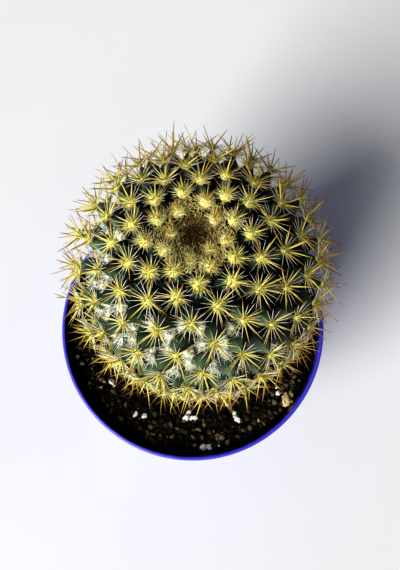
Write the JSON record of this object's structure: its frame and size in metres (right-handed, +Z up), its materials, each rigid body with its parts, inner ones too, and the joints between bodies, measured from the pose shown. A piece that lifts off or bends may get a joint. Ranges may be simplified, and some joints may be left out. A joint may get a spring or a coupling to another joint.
{
  "type": "potted round cactus",
  "caption": "Small globular cactus with spiralled tubercles and yellow spines, standing in potting mix in a thin round plastic pot with a collared lip.",
  "frame": {"origin": "centre of the pot's flat underside, on the surface that it stands on", "axes": "+Z up, -Y towards the side where the soil shows in front of the plant, +X to the right seen from there"},
  "size_m": [0.0904, 0.0989, 0.1526],
  "materials": {
    "pot_plastic": "smooth moulded plastic, violet blue, soft gloss",
    "potting_mix": "dark peaty mix with white perlite and tan grit",
    "plant": "waxy green skin with cream wool and golden yellow spines"
  },
  "bodies": {
    "root": {"pot": "pot_plastic", "soil": "potting_mix", "cactus": "plant"}
  },
  "joints": []
}
